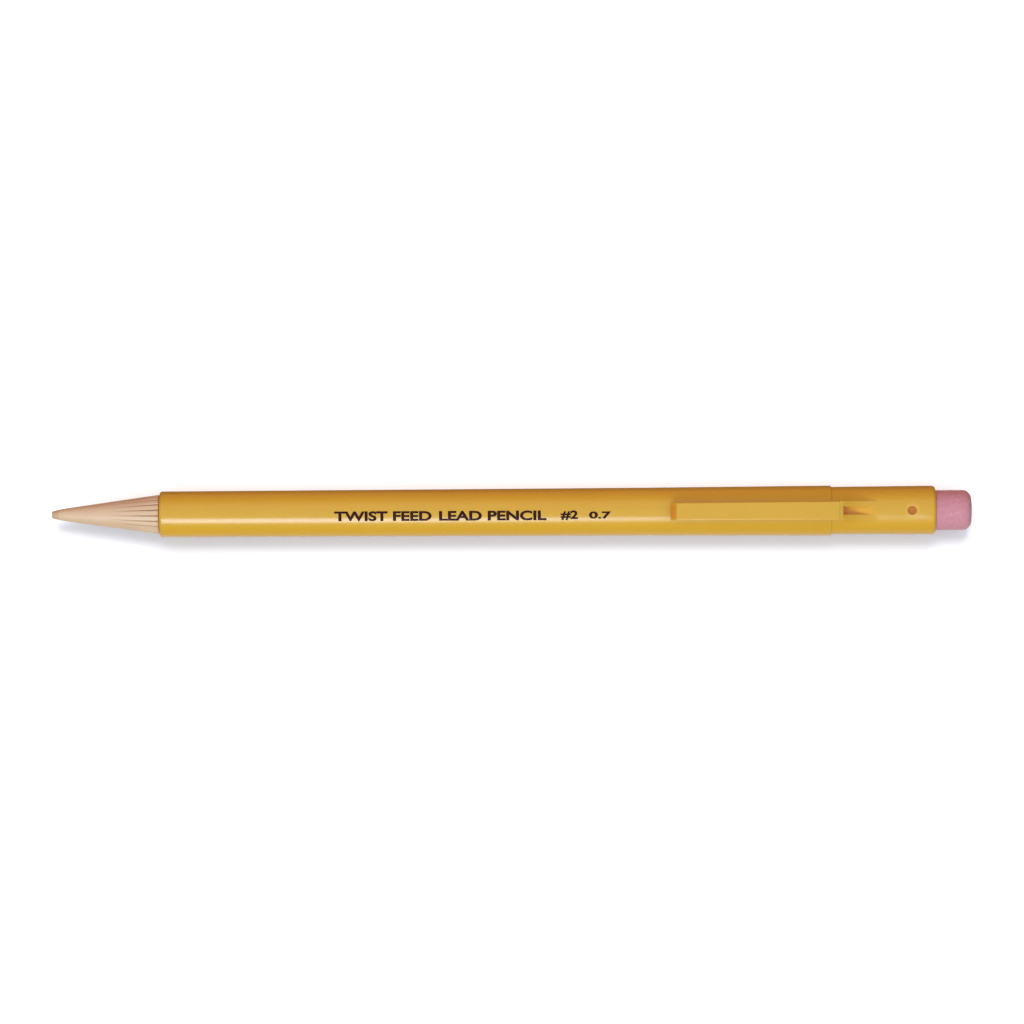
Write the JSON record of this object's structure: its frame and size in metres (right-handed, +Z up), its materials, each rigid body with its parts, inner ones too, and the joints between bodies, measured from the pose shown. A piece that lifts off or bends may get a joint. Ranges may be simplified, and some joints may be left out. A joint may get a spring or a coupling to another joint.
{
  "type": "mechanical pencil",
  "caption": "Twist-tip mechanical pencil: turning the fluted nose feeds the lead from a cushioned cartridge; pocket clip and push-in eraser at the rear.",
  "frame": {"origin": "on the table under the middle of the pencil's length, below its axis, which lies 3.895 mm up", "axes": "+X along the pencil from the writing tip to the eraser, +Z up through the pocket clip, +Y across, completing a right-handed frame"},
  "size_m": [0.143, 0.0078, 0.0095],
  "materials": {
    "barrel": "glossy moulded yellow plastic",
    "nose_cone": "satin tan plastic, fluted",
    "lead_grip": "matt black rubber sleeve",
    "lead": "drawn polymer graphite, faint sheen",
    "lead_clutch": "turned brass",
    "lead_carrier": "natural acetal",
    "slotted_tube": "natural acetal",
    "tube_plug": "natural acetal",
    "front_bushing": "natural acetal",
    "spiral_case": "grey plastic tube",
    "drive_spiral": "flat spring wire",
    "tail_bushing": "natural acetal",
    "cushion_spring": "spring wire",
    "end_cap": "glossy moulded yellow plastic",
    "pocket_clip": "glossy moulded yellow plastic",
    "eraser": "matt pink rubber with pale specks"
  },
  "bodies": {
    "barrel": {"barrel": "barrel", "end_cap": "end_cap", "eraser": "eraser", "cushion_spring": "cushion_spring"},
    "clip": {"pocket_clip": "pocket_clip"},
    "cartridge": {"spiral_case": "spiral_case", "drive_spiral": "drive_spiral", "front_bushing": "front_bushing", "tail_bushing": "tail_bushing"},
    "nose": {"nose_cone": "nose_cone", "slotted_tube": "slotted_tube", "lead_grip": "lead_grip", "tube_plug": "tube_plug"},
    "carrier": {"lead_carrier": "lead_carrier", "lead_clutch": "lead_clutch", "lead": "lead"}
  },
  "joints": [
    {"name": "tip_cushion", "type": "slide", "parent": "barrel", "child": "cartridge", "axis": [1, 0, 0], "range_m": [0, 0.001], "stiffness_N_per_m": 1200, "springref_m": -0.0015, "deforming": ["cushion_spring"]},
    {"name": "nose_twist", "type": "hinge", "parent": "cartridge", "child": "nose", "pos_m": [-0.0549, 0, 0.0039], "axis": [-1, 0, 0], "range_deg": [0, 10080]},
    {"name": "lead_feed", "type": "slide", "parent": "nose", "child": "carrier", "axis": [-1, 0, 0], "range_m": [0, 0.07]},
    {"name": "clip_flex", "type": "hinge", "parent": "barrel", "child": "clip", "pos_m": [0.05078, 0, 0.00949], "axis": [0, 1, 0], "range_deg": [0, 3.5], "stiffness_Nm_per_rad": 1.46}
  ],
  "couplings": [
    {"joint": "nose_twist", "follows": "lead_feed", "rad_per_m": 2513.3}
  ]
}
